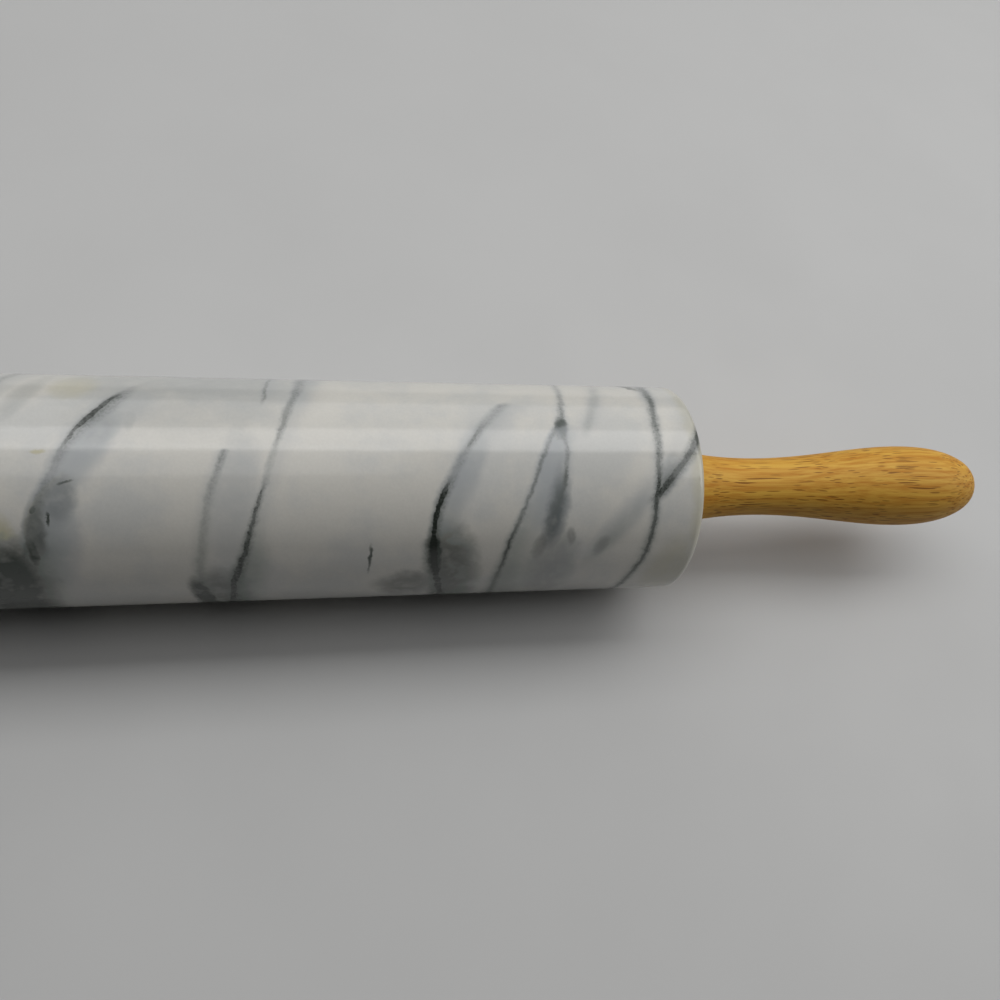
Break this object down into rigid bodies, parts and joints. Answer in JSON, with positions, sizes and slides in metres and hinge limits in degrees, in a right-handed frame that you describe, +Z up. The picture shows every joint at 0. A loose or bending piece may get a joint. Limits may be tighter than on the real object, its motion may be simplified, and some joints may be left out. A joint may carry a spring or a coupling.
{
  "type": "rolling pin",
  "caption": "Marble rolling pin: a heavy veined stone barrel that turns freely on a steel axle between turned wooden handles.",
  "frame": {"origin": "on the surface that the pin lies on, below the middle of the barrel", "axes": "+X along the pin towards the right handle, +Y across it, +Z up"},
  "size_m": [0.4686, 0.06, 0.06],
  "materials": {
    "marble": "polished",
    "wood": "satin",
    "nylon": "matte",
    "steel": "brushed",
    "brass": "machined"
  },
  "bodies": {
    "barrel": {"marble_barrel": "marble", "left_bush": "nylon", "right_bush": "nylon"},
    "axle": {"axle_rod": "steel", "left_washer": "steel", "right_washer": "steel", "left_threaded_insert": "brass", "right_threaded_insert": "brass", "left_handle": "wood", "right_handle": "wood"}
  },
  "joints": [
    {"name": "axle_spin", "type": "hinge", "parent": "barrel", "child": "axle", "pos_m": [0, 0, 0.03], "axis": [1, 0, 0], "continuous": true}
  ]
}
